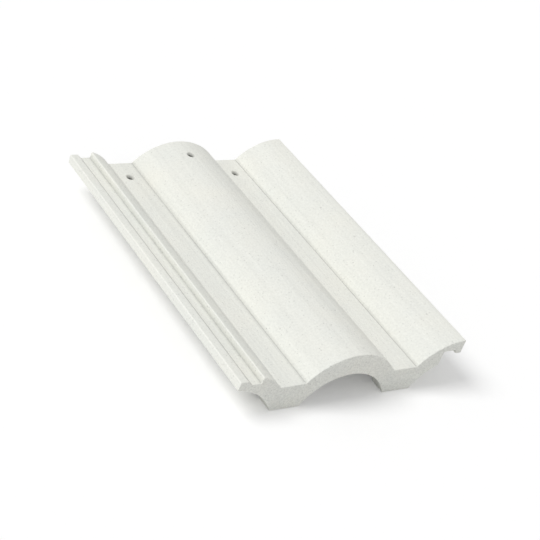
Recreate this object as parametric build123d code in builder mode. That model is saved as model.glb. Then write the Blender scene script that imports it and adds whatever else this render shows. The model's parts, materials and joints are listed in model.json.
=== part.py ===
from build123d import *
import os

# Interlocking bold-roll concrete roof tile, one cast piece.
# Sizes are in mm. The nose (lower edge on the roof) faces -Y, the head faces +Y,
# the underlock is at -X and the overlock at +X. Z is 0 at the underside of the feet.
# In the section, x runs from the outer side of the underlock and z from the pan tops.

# Length and thickness
tile_length = 432.0
nose_depth = 33.0        # pan top to underside of the feet
body_thickness = 13.0    # shell behind the nose

# Waves
pan_width = 35.0
roll_width = 125.0
roll_height = 31.5
lock_width = 56.5        # outer side of the underlock to the first pan

# Underlock: ledge, groove and rib
ledge_width = 10.0
ledge_height = 15.5      # ledge top above the pan
groove_floor = 10.5      # groove floor above the pan
rib_height = 18.5        # rib top above the pan
rib_lean = 0.8           # draft of the rib's inner wall
rib_radius = 50.0        # fall of the rib to the pan

# Overlock: lip and rebate, cut to sit over the underlock of the next tile
side_lap = 26.0
lock_clearance = 2.0
lip_width = 8.5

# Nose underside: flat feet with arches between them, made as two weather bars
foot_width = 40.0
arch_height = 37.0       # crown of the arches above the feet
front_bar = 20.0
bar_gap = 10.0
rear_bar = 12.0

# Batten nibs at the head
nib_width = 34.0
nib_inset = 2.0          # back of the nib from the head
nib_root = 14.0          # thickness where it meets the shell
nib_tip = 9.0            # thickness at its bottom edge
nib_radius = 2.0

# Nail holes
nail_radius = 3.0
nail_mouth_radius = 6.0
nail_mouth_angle = 90.0
nail_from_head = 32.0

# Eased edges of the section, and of the nose and head
arris_radius = 1.2
end_radius = 1.0

# Positions that follow from the sizes above
wave_pitch = pan_width + roll_width
tile_width = lock_width + 2 * pan_width + 1.5 * roll_width
roll_radius = ((roll_width / 2) ** 2 + roll_height**2) / (2 * roll_height)
roll_centre = roll_height - roll_radius
pan_1 = lock_width + pan_width / 2
pan_2 = pan_1 + wave_pitch
crown = pan_1 + wave_pitch / 2

groove_left = side_lap - lip_width - lock_clearance
groove_right = side_lap + lock_clearance
lip_bottom = groove_floor + lock_clearance
rebate_top = ledge_height + lock_clearance
rebate_wall = tile_width - side_lap - lock_clearance

arch_half = (wave_pitch - foot_width) / 2
arch_radius = (arch_half**2 + arch_height**2) / (2 * arch_height)
arch_centre = arch_height - nose_depth - arch_radius
left_arch = pan_1 - wave_pitch / 2
right_arch = pan_2 + wave_pitch / 2
ledge_underside = arch_centre + (arch_radius**2 - left_arch**2) ** 0.5
cove_mid = (pan_1 - foot_width / 2) / 2
cove_mid_z = arch_centre + (arch_radius**2 - (cove_mid - left_arch) ** 2) ** 0.5
rebate_foot = arch_centre + (arch_radius**2 - (right_arch - rebate_wall) ** 2) ** 0.5
spring_mid = (pan_2 + foot_width / 2 + rebate_wall) / 2
spring_mid_z = arch_centre + (arch_radius**2 - (right_arch - spring_mid) ** 2) ** 0.5
half_mid = tile_width - roll_width / 4
half_mid_z = roll_centre + (roll_radius**2 - (roll_width / 4) ** 2) ** 0.5

shell_radius = roll_radius - body_thickness
shell_half = (shell_radius**2 - (body_thickness + roll_centre) ** 2) ** 0.5
shell_end = rebate_wall + lock_clearance / 2
shell_end_z = roll_centre + (shell_radius**2 - (tile_width - shell_end) ** 2) ** 0.5
shell_mid = (tile_width - shell_half + shell_end) / 2
shell_mid_z = roll_centre + (shell_radius**2 - (tile_width - shell_mid) ** 2) ** 0.5

# Sketch planes stand across the tile; sketches are pushed from them towards the nose
head_plane = Plane(
    origin=(-tile_width / 2, tile_length / 2, nose_depth), x_dir=(1, 0, 0), z_dir=(0, -1, 0)
)
gap_plane = head_plane.offset(tile_length - front_bar - bar_gap)
bars_depth = front_bar + bar_gap + rear_bar

with BuildPart() as tile:
    # Full section as seen on the nose face
    with BuildSketch(head_plane) as section:
        with BuildLine():
            Polyline(
                (0, ledge_underside),
                (0, ledge_height),
                (ledge_width, ledge_height),
                (groove_left, groove_floor),
                (groove_right, groove_floor),
                (groove_right + rib_lean, rib_height),
            )
            RadiusArc((groove_right + rib_lean, rib_height), (lock_width, 0), rib_radius)
            Line((lock_width, 0), (lock_width + pan_width, 0))
            ThreePointArc((lock_width + pan_width, 0), (crown, roll_height), (pan_2 - pan_width / 2, 0))
            Line((pan_2 - pan_width / 2, 0), (pan_2 + pan_width / 2, 0))
            ThreePointArc((pan_2 + pan_width / 2, 0), (half_mid, half_mid_z), (tile_width, roll_height))
            Polyline(
                (tile_width, roll_height),
                (tile_width, lip_bottom),
                (tile_width - lip_width, lip_bottom),
                (tile_width - lip_width, rebate_top),
                (rebate_wall, rebate_top),
                (rebate_wall, rebate_foot),
            )
            ThreePointArc(
                (rebate_wall, rebate_foot),
                (spring_mid, spring_mid_z),
                (pan_2 + foot_width / 2, -nose_depth),
            )
            Line((pan_2 + foot_width / 2, -nose_depth), (pan_2 - foot_width / 2, -nose_depth))
            ThreePointArc(
                (pan_2 - foot_width / 2, -nose_depth),
                (crown, arch_height - nose_depth),
                (pan_1 + foot_width / 2, -nose_depth),
            )
            Line((pan_1 + foot_width / 2, -nose_depth), (pan_1 - foot_width / 2, -nose_depth))
            ThreePointArc(
                (pan_1 - foot_width / 2, -nose_depth), (cove_mid, cove_mid_z), (0, ledge_underside)
            )
        make_face()
        fillet(section.vertices(), radius=arris_radius)
    extrude(amount=tile_length)

    # Hollow underside behind the weather bars, leaving an even shell
    with BuildSketch(head_plane) as hollow:
        with BuildLine():
            Line((0, -body_thickness), (crown - shell_half, -body_thickness))
            ThreePointArc(
                (crown - shell_half, -body_thickness),
                (crown, roll_height - body_thickness),
                (crown + shell_half, -body_thickness),
            )
            Line((crown + shell_half, -body_thickness), (tile_width - shell_half, -body_thickness))
            ThreePointArc(
                (tile_width - shell_half, -body_thickness),
                (shell_mid, shell_mid_z),
                (shell_end, shell_end_z),
            )
            Polyline(
                (shell_end, shell_end_z),
                (shell_end, -nose_depth),
                (0, -nose_depth),
                (0, -body_thickness),
            )
        make_face()
    extrude(amount=tile_length - bars_depth, mode=Mode.SUBTRACT)

    # Gap between the two weather bars
    with BuildSketch(gap_plane):
        add(hollow.sketch_local)
    extrude(amount=bar_gap, mode=Mode.SUBTRACT)

    # Batten nibs under the pans: upright bearing face towards the nose, sloped back
    nib_face = tile_length / 2 - nib_inset - nib_root
    nib_planes = [Plane.YZ.offset(x - tile_width / 2) for x in (pan_1, pan_2)]
    with BuildSketch(*nib_planes):
        with BuildLine():
            Polyline(
                (nib_face, 0),
                (nib_face, nose_depth - body_thickness / 2),
                (nib_face + nib_root, nose_depth - body_thickness / 2),
                (nib_face + nib_root, nose_depth - body_thickness),
                (nib_face + nib_tip, 0),
                close=True,
            )
        make_face()
    extrude(amount=nib_width / 2, both=True)
    nib_bottoms = tile.faces().group_by(Axis.Z)[0].sort_by(Axis.Y)[-len(nib_planes):]
    fillet(nib_bottoms.edges(), radius=nib_radius)

    # Eased edges around the nose face and the head face
    nose_edges = tile.faces().sort_by(Axis.Y)[0].edges()
    head_edges = tile.faces().sort_by(Axis.Y)[-1].edges()
    fillet(nose_edges + head_edges, radius=end_radius)

    # Nail holes in one line across the head: two pans and the roll between them
    hole_y = tile_length / 2 - nail_from_head
    with Locations(
        (pan_1 - tile_width / 2, hole_y, nose_depth),
        (crown - tile_width / 2, hole_y, nose_depth + roll_height),
        (pan_2 - tile_width / 2, hole_y, nose_depth),
    ):
        CounterSinkHole(nail_radius, nail_mouth_radius, counter_sink_angle=nail_mouth_angle)

tile.part.label = "roof_tile"
os.makedirs("parts", exist_ok=True)
export_step(tile.part, "parts/roof_tile.step")
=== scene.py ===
"""Looks for an interlocking bold-roll concrete roof tile: one pale casting on a white studio floor."""

import json
from math import cos, pi, radians, sin

import bmesh
import bpy
from mathutils import Matrix, Vector, noise


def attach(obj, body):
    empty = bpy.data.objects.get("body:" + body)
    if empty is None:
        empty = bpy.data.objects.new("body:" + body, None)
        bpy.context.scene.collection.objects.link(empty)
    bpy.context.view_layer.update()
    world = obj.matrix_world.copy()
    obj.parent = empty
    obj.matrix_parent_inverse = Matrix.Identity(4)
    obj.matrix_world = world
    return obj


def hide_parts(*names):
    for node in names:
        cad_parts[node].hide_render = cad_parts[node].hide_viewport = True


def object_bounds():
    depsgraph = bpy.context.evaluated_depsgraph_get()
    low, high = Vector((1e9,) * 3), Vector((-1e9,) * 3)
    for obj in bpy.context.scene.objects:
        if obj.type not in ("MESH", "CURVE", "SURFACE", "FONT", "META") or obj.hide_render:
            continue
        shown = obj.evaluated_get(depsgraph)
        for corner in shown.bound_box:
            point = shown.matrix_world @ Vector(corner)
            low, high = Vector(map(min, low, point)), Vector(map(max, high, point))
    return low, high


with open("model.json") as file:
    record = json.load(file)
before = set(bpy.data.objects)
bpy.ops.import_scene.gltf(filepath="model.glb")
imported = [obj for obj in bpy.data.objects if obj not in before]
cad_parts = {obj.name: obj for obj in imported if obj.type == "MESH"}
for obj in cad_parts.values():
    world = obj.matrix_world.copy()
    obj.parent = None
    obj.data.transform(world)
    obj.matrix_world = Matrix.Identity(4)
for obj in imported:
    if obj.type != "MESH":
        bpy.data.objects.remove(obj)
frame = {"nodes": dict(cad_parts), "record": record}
cad_low, cad_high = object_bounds()

# Lengths are in metres, in the frame of the CAD model
MM = 0.001
WHITE = (1.0, 1.0, 1.0, 1.0)

# Camera at the drawing's viewing angle, aimed near the middle of the tile
CAMERA_AZIMUTH = radians(-43.2)
CAMERA_ELEVATION = radians(31.68)
CAMERA_ROLL = radians(-21.06)
CAMERA_AIM = Vector((0.0121, -0.0146, 0.0284))
CAMERA_DISTANCE = 1.677
CAMERA_LENS = 92.5
SENSOR_WIDTH = 36.0

# Light: a share of full white from the sky all round, and a share from the key where it falls straight on
SKY_SHARE = 0.53
KEY_SHARE = 0.48
KEY_FROM = Vector((-0.60, 0.22, 0.77))
KEY_SPREAD = radians(30)

# Floor
FLOOR_HALF_WIDTH = 4.0
FLOOR_ALBEDO = (0.95, 0.95, 0.95, 1.0)
FLOOR_LIFT = 0.15        # added for the eye alone, so that the open floor is white

# Concrete
CONCRETE = (0.87, 0.88, 0.83, 1.0)
CONCRETE_WARM = (0.84, 0.83, 0.76, 1.0)
CONCRETE_ROUGHNESS = 0.88
ROUGHNESS_SPREAD = 0.2   # with the height of the sand
CONCRETE_SHINE = 0.3

# Clouds in the cement, per metre, and the noise value above which they turn warm
CLOUDS = 16.0
WARM_FROM = 0.35

# Sand: grains per metre, the share of them that is darker, and a dark grain's reach and fade in its cell
GRAINS = 420.0
SPECK_SHARE = 0.08
SPECK_REACH = 0.45
SPECK_FADE = 4.0
CUT_END_COARSER = 1.1    # share by which the sand stands out more on the cut ends

# Pinholes: cells per metre, the share of cells with one, and its radius as a share of the cell
PINHOLE_CELLS = 125.0
PINHOLE_SHARE = 0.3
PINHOLE_LEAST = 0.04
PINHOLE_SPREAD = 0.09

# Drag lines: waves per metre across and along the tile
DRAG_WAVES = {"Fine": (300.0, 5.0), "Broad": (55.0, 1.6)}

# How far each mark lightens or darkens the concrete, and its height in mm as bump
# The darkening in creases, nail holes and pinholes is painted shade, and the lightening on arrises is a
# painted highlight
SHADE = {
    "cloud": 0.15, "fine_lines": 0.12, "broad_lines": 0.12, "grain": 0.27,
    "speck": -0.16, "pinholes": -0.40, "painted_crease_shade": -0.34, "painted_arris_highlight": 0.03, "painted_hole_shade": -0.6,
}
RELIEF = {"grain": 0.55, "fine_lines": 0.22, "broad_lines": 0.3, "pinholes": -0.9}

# Grid on which the casting's faces carry their relief
MERGE = 0.002 * MM
FLAT = radians(0.3)
GRID = 4 * MM
CUT_ORDER = (0, 2, 1)    # across, up, then along the tile

# Shading: the angle from which an edge stays crisp, and how far large faces lead the normals
SHARP = radians(30)
AREA_WEIGHT = 80

# Unevenness of the casting: waves per metre and height
UNEVEN_SEED = 17
SLOW_WAVES = 16.0
SLOW_HEIGHT = 0.16 * MM
SLOW_STRETCH = 2.0       # slow waves are this much longer along the tile
QUICK_WAVES = 85.0
QUICK_HEIGHT = 0.06 * MM
TORN_WAVES = 120.0
TORN_HEIGHT = 0.15 * MM  # on the nose and head, which are cut while the concrete is soft
END_REACH = 3 * MM

# Normals past which a face was made against the pallet, or faces along the tile
PALLET_FACING = -0.3
END_FACING = 0.5

# Nail holes: punched while the concrete is soft, with mouths this many times as wide as the bore, and
# painted shade on their walls
NAIL_HOLES = [mount for mount in frame["record"]["mounts"] if mount["kind"] == "bore"]
MOUTH_WIDENS = 2.0

# Curvature, per metre, past which a bend is an arris or a crease
TIGHT_BEND = 180.0
CREASE_FADE = 0.45       # share of a crease's painted shade on the points beside it


def link_object(name, data):
    """New object in the scene, at the origin."""
    made = bpy.data.objects.new(name, data)
    bpy.context.scene.collection.objects.link(made)
    return made


def add_node(tree, kind, inputs=None, **settings):
    """Node of that kind with its settings; inputs take a socket to join or a plain value."""
    made = tree.nodes.new(kind)
    for key, value in settings.items():
        setattr(made, key, value)
    for key, value in (inputs or {}).items():
        if isinstance(value, bpy.types.NodeSocket):
            tree.links.new(value, made.inputs[key])
        else:
            made.inputs[key].default_value = value
    return made


def maths(tree, operation, first, second=0.0, third=0.0, clamp=False):
    """Result of one sum on sockets or plain values."""
    made = add_node(
        tree, "ShaderNodeMath", {0: first, 1: second, 2: third}, operation=operation, use_clamp=clamp
    )
    return made.outputs[0]


def centred(tree, noise_value):
    """Noise that runs from 0 to 1, moved to lie evenly about 0."""
    return maths(tree, "SUBTRACT", noise_value, 0.5)


def attribute(tree, name):
    """Value that the mesh carries under that name."""
    return add_node(tree, "ShaderNodeAttribute", attribute_name=name).outputs["Fac"]


def new_group(name, values, outputs):
    """Shader node group that reads a place on the piece and some values, and puts out values."""
    tree = bpy.data.node_groups.new(name, "ShaderNodeTree")
    tree.interface.new_socket("Place", in_out="INPUT", socket_type="NodeSocketVector")
    for label, value in values.items():
        socket = tree.interface.new_socket(label, in_out="INPUT", socket_type="NodeSocketFloat")
        socket.default_value = value
    for label in outputs:
        tree.interface.new_socket(label, in_out="OUTPUT", socket_type="NodeSocketFloat")
    given = tree.nodes.new("NodeGroupInput").outputs
    result = tree.nodes.new("NodeGroupOutput").inputs
    return tree, given, result


def use_group(tree, group, inputs):
    """Outputs of a group placed in a material, with its inputs joined."""
    return add_node(tree, "ShaderNodeGroup", inputs, node_tree=group).outputs


def sand_group():
    """Sand bound in cement: an even fine roughness, and a few grains of a darker shade."""
    tree, given, result = new_group("sand", {"Grains per metre": GRAINS}, ["Height", "Speck"])
    place = {"Vector": given["Place"], "Scale": given["Grains per metre"]}
    grain = add_node(tree, "ShaderNodeTexNoise", {**place, "Detail": 3.0, "Roughness": 0.65})
    tree.links.new(grain.outputs["Fac"], result["Height"])
    cells = add_node(tree, "ShaderNodeTexVoronoi", place)
    chance = add_node(tree, "ShaderNodeSeparateColor", {"Color": cells.outputs["Color"]})
    rare = maths(tree, "GREATER_THAN", chance.outputs["Red"], 1.0 - SPECK_SHARE)
    core = maths(
        tree, "MULTIPLY_ADD", cells.outputs["Distance"], -SPECK_FADE, SPECK_FADE * SPECK_REACH, clamp=True
    )
    tree.links.new(maths(tree, "MULTIPLY", rare, core), result["Speck"])
    return tree


def pinhole_group():
    """Pinholes left by air: round bowls of uneven size, in some of the cells."""
    values = {"Cells per metre": PINHOLE_CELLS, "Share": PINHOLE_SHARE}
    tree, given, result = new_group("pinholes", values, ["Depth"])
    cells = add_node(
        tree, "ShaderNodeTexVoronoi", {"Vector": given["Place"], "Scale": given["Cells per metre"]}
    )
    chance = add_node(tree, "ShaderNodeSeparateColor", {"Color": cells.outputs["Color"]})
    present = maths(tree, "LESS_THAN", chance.outputs["Red"], given["Share"])
    radius = maths(tree, "MULTIPLY_ADD", chance.outputs["Green"], PINHOLE_SPREAD, PINHOLE_LEAST)
    inside = maths(tree, "DIVIDE", cells.outputs["Distance"], radius)
    bowl = maths(tree, "SUBTRACT", 1.0, inside, clamp=True)
    tree.links.new(maths(tree, "MULTIPLY", bowl, present), result["Depth"])
    return tree


def drag_group():
    """Lines along the length, left where the wet face was struck off."""
    tree, given, result = new_group("drag_lines", {}, list(DRAG_WAVES))
    for label, (across, along) in DRAG_WAVES.items():
        drawn_out = add_node(
            tree, "ShaderNodeMapping", {"Vector": given["Place"], "Scale": (across, along, across)}
        )
        lines = add_node(
            tree, "ShaderNodeTexNoise", {"Vector": drawn_out.outputs[0], "Scale": 1.0, "Detail": 2.0}
        )
        tree.links.new(centred(tree, lines.outputs["Fac"]), result[label])
    return tree


def weighted_sum(tree, start, marks, weights):
    """The start value plus each weighted mark."""
    running = start
    for name, weight in weights.items():
        running = maths(tree, "MULTIPLY_ADD", marks[name], weight, running)
    return running


def concrete_material():
    """Pale cement and fine sand: drag lines on the struck face, coarser on the cut ends, plain below;
    painted shade in creases, pinholes and nail holes, and a painted highlight on arrises.
    """
    material = bpy.data.materials.new("pale_concrete")
    material.use_nodes = True
    tree = material.node_tree
    shader = tree.nodes["Principled BSDF"]
    place = {"Place": add_node(tree, "ShaderNodeTexCoord").outputs["Object"]}
    sand = use_group(tree, sand_group(), place)
    drag = use_group(tree, drag_group(), place)
    cloud = add_node(
        tree, "ShaderNodeTexNoise", {"Vector": place["Place"], "Scale": CLOUDS, "Detail": 3.0}
    ).outputs["Fac"]

    cut_end = attribute(tree, "cut_end")
    struck = maths(tree, "SUBTRACT", 1.0, maths(tree, "MAXIMUM", cut_end, attribute(tree, "pallet_side")))
    coarseness = maths(tree, "MULTIPLY_ADD", cut_end, CUT_END_COARSER, 1.0)
    marks = {
        "cloud": centred(tree, cloud),
        "fine_lines": maths(tree, "MULTIPLY", drag["Fine"], struck),
        "broad_lines": maths(tree, "MULTIPLY", drag["Broad"], struck),
        "grain": maths(tree, "MULTIPLY", centred(tree, sand["Height"]), coarseness),
        "speck": sand["Speck"],
        # Pinholes are bump and painted shade; the crease and nail hole marks are painted shade, and the
        # arris mark is a painted highlight
        "pinholes": use_group(tree, pinhole_group(), place)["Depth"],
        "painted_crease_shade": attribute(tree, "painted_crease_shade"),
        "painted_arris_highlight": attribute(tree, "painted_arris_highlight"),
        "painted_hole_shade": attribute(tree, "painted_hole_shade"),
    }

    tint = add_node(tree, "ShaderNodeValToRGB", {"Fac": cloud})
    cool, warm = tint.color_ramp.elements
    cool.position = WARM_FROM
    cool.color = CONCRETE
    warm.position = 1.0
    warm.color = CONCRETE_WARM
    shade = weighted_sum(tree, 1.0, marks, SHADE)
    colour = add_node(
        tree, "ShaderNodeVectorMath", {0: tint.outputs["Color"], "Scale": shade}, operation="SCALE"
    )
    tree.links.new(colour.outputs[0], shader.inputs["Base Color"])

    height = weighted_sum(tree, 0.0, marks, RELIEF)
    bump = add_node(tree, "ShaderNodeBump", {"Height": height, "Distance": MM, "Strength": 1.0})
    tree.links.new(bump.outputs["Normal"], shader.inputs["Normal"])
    roughness = maths(
        tree, "MULTIPLY_ADD", marks["grain"], ROUGHNESS_SPREAD, CONCRETE_ROUGHNESS, clamp=True
    )
    tree.links.new(roughness, shader.inputs["Roughness"])
    shader.inputs["Specular IOR Level"].default_value = CONCRETE_SHINE
    return material


def cut_grid(form, axis, low, high):
    """Cut lines across the form at even steps along one axis, so that its faces can carry relief."""
    steps = round((high[axis] - low[axis]) / GRID)
    facing = Vector((axis == 0, axis == 1, axis == 2))
    for step in range(1, steps):
        level = low[axis] + (high[axis] - low[axis]) * step / steps
        bmesh.ops.bisect_plane(
            form,
            geom=form.verts[:] + form.edges[:] + form.faces[:],
            dist=MERGE / 2,
            plane_co=facing * level,
            plane_no=facing,
        )


def bend_of(vert):
    """Mean curvature at a vertex, per metre: above 0 on an arris, below 0 in a crease."""
    turned = sum(edge.calc_face_angle_signed(0.0) * edge.calc_length() for edge in vert.link_edges)
    area = sum(face.calc_area() for face in vert.link_faces)
    return turned / max(area, MERGE**2)


def end_share(point):
    """1 at the nose and the head, and 0 from a short way in."""
    inset = min(point.y - cad_low[1], cad_high[1] - point.y)
    return min(max(1.0 - inset / END_REACH, 0.0), 1.0)


def hole_share(point):
    """Share of the painted shade in a nail hole: 1 on its wall, falling to 0 at the edge of its mouth."""
    share = 0.0
    for hole in NAIL_HOLES:
        bore = hole["dims"]["r_mm"] * MM
        mouth = MOUTH_WIDENS * bore
        away = (point.xy - Vector(hole["pos_m"]).xy).length
        share = max(share, (mouth - away) / (mouth - bore))
    return min(share, 1.0)


def unevenness(point):
    """Shift of a point of the casting: slow waves, small ones, and torn sand near the cut ends."""
    drawn_out = Vector((point.x, point.y / SLOW_STRETCH, point.z))
    slow = noise.noise_vector(drawn_out * SLOW_WAVES) * SLOW_HEIGHT
    quick = noise.noise_vector(point * QUICK_WAVES) * QUICK_HEIGHT
    torn = noise.noise_vector(point * TORN_WAVES) * TORN_HEIGHT
    return slow + quick + torn * end_share(point)


def mark_faces(form):
    """Vertex values that say which finish a face has, and where shade is painted into creases and nail
    holes and a highlight onto arrises.
    """
    layers = form.verts.layers.float
    names = ("cut_end", "pallet_side", "painted_crease_shade", "painted_arris_highlight", "painted_hole_shade")
    cut_end, pallet_side, painted_crease_shade, painted_arris_highlight, painted_hole_shade = (layers.new(name) for name in names)
    for vert in form.verts:
        bend = bend_of(vert)
        endways = abs(vert.normal.y)
        unstruck = vert.normal.z < PALLET_FACING or endways > END_FACING
        vert[cut_end] = end_share(vert.co) * endways
        vert[pallet_side] = float(unstruck) * (1.0 - vert[cut_end])
        # Painted shade on the walls of the nail holes, deepest at the bore
        vert[painted_hole_shade] = hole_share(vert.co) * float(vert.normal.z > PALLET_FACING)
        # Painted shade in the creases, but not inside the nail holes
        vert[painted_crease_shade] = float(bend < -TIGHT_BEND) * (1.0 - vert[painted_hole_shade])
        # Painted highlight along the arrises
        vert[painted_arris_highlight] = float(bend > TIGHT_BEND)
    # The painted crease shade fades onto the points beside each crease, less so on the cut ends
    for vert in [vert for vert in form.verts if vert[painted_crease_shade] == 1.0]:
        for edge in vert.link_edges:
            beside = edge.other_vert(vert)
            beside[painted_crease_shade] = max(beside[painted_crease_shade], CREASE_FADE * (1.0 - beside[cut_end]))


def make_casting():
    """The tile as cast: the CAD form on a fine grid, with the slight unevenness of struck concrete."""
    form = bmesh.new()
    form.from_mesh(frame["nodes"]["roof_tile"].data)
    bmesh.ops.remove_doubles(form, verts=form.verts, dist=MERGE)
    bmesh.ops.dissolve_limit(form, angle_limit=FLAT, verts=form.verts, edges=form.edges)
    for axis in CUT_ORDER:
        cut_grid(form, axis, cad_low, cad_high)
    form.normal_update()
    mark_faces(form)
    noise.seed_set(UNEVEN_SEED)
    for vert in form.verts:
        vert.co += unevenness(vert.co)
        vert.co.z = max(vert.co.z, cad_low[2])
    form.normal_update()
    for edge in form.edges:
        edge.smooth = edge.calc_face_angle(0.0) < SHARP

    mesh = bpy.data.meshes.new("tile_casting")
    form.to_mesh(mesh)
    form.free()
    mesh.shade_smooth()
    mesh.materials.append(concrete_material())
    tile = link_object("tile_casting", mesh)
    shading = tile.modifiers.new("even_shading", "WEIGHTED_NORMAL")
    shading.weight = AREA_WEIGHT
    shading.keep_sharp = True
    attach(tile, "root")
    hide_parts("roof_tile")


def make_floor():
    """White studio floor that keeps the tile's soft shadow."""
    mesh = bpy.data.meshes.new("floor")
    form = bmesh.new()
    bmesh.ops.create_grid(form, x_segments=1, y_segments=1, size=FLOOR_HALF_WIDTH)
    form.to_mesh(mesh)
    form.free()
    material = bpy.data.materials.new("floor_white")
    material.use_nodes = True
    tree = material.node_tree
    shader = tree.nodes["Principled BSDF"]
    shader.inputs["Base Color"].default_value = FLOOR_ALBEDO
    shader.inputs["Roughness"].default_value = 1.0
    shader.inputs["Specular IOR Level"].default_value = 0.0
    shader.inputs["Emission Color"].default_value = WHITE
    eye = add_node(tree, "ShaderNodeLightPath").outputs["Is Camera Ray"]
    tree.links.new(maths(tree, "MULTIPLY", eye, FLOOR_LIFT), shader.inputs["Emission Strength"])
    mesh.materials.append(material)
    link_object("floor", mesh)


def make_light():
    """Even white sky with a broad key from the upper left; the sky itself looks white."""
    world = bpy.data.worlds.new("studio")
    world.use_nodes = True
    tree = world.node_tree
    path = add_node(tree, "ShaderNodeLightPath")
    seen = maths(tree, "MAXIMUM", path.outputs["Is Camera Ray"], path.outputs["Is Glossy Ray"])
    seen = maths(tree, "MAXIMUM", seen, path.outputs["Is Transmission Ray"])
    background = tree.nodes["Background"]
    background.inputs["Color"].default_value = WHITE
    strength = maths(tree, "MULTIPLY_ADD", seen, 1.0 - SKY_SHARE, SKY_SHARE)
    tree.links.new(strength, background.inputs["Strength"])
    bpy.context.scene.world = world

    lamp = bpy.data.lights.new("key", "SUN")
    lamp.energy = KEY_SHARE * pi
    lamp.angle = KEY_SPREAD
    key = link_object("key", lamp)
    key.rotation_mode = "QUATERNION"
    key.rotation_quaternion = (-KEY_FROM).to_track_quat("-Z", "Y")


def make_camera():
    """Camera at the drawing's viewing angle, rolled as the drawing is."""
    ahead = Vector((
        -sin(CAMERA_AZIMUTH) * cos(CAMERA_ELEVATION),
        cos(CAMERA_AZIMUTH) * cos(CAMERA_ELEVATION),
        -sin(CAMERA_ELEVATION),
    ))
    level = ahead.to_track_quat("-Z", "Y").to_matrix()
    turn = Matrix.Rotation(-CAMERA_ROLL, 3, "Z")
    place = CAMERA_AIM - ahead * CAMERA_DISTANCE
    lens = bpy.data.cameras.new("camera")
    lens.sensor_width = SENSOR_WIDTH
    lens.lens = CAMERA_LENS
    camera = link_object("camera", lens)
    camera.matrix_world = Matrix.Translation(place) @ (level @ turn).to_4x4()
    bpy.context.scene.camera = camera


make_casting()
make_floor()
make_light()
make_camera()
bpy.context.scene.view_settings.view_transform = "Standard"
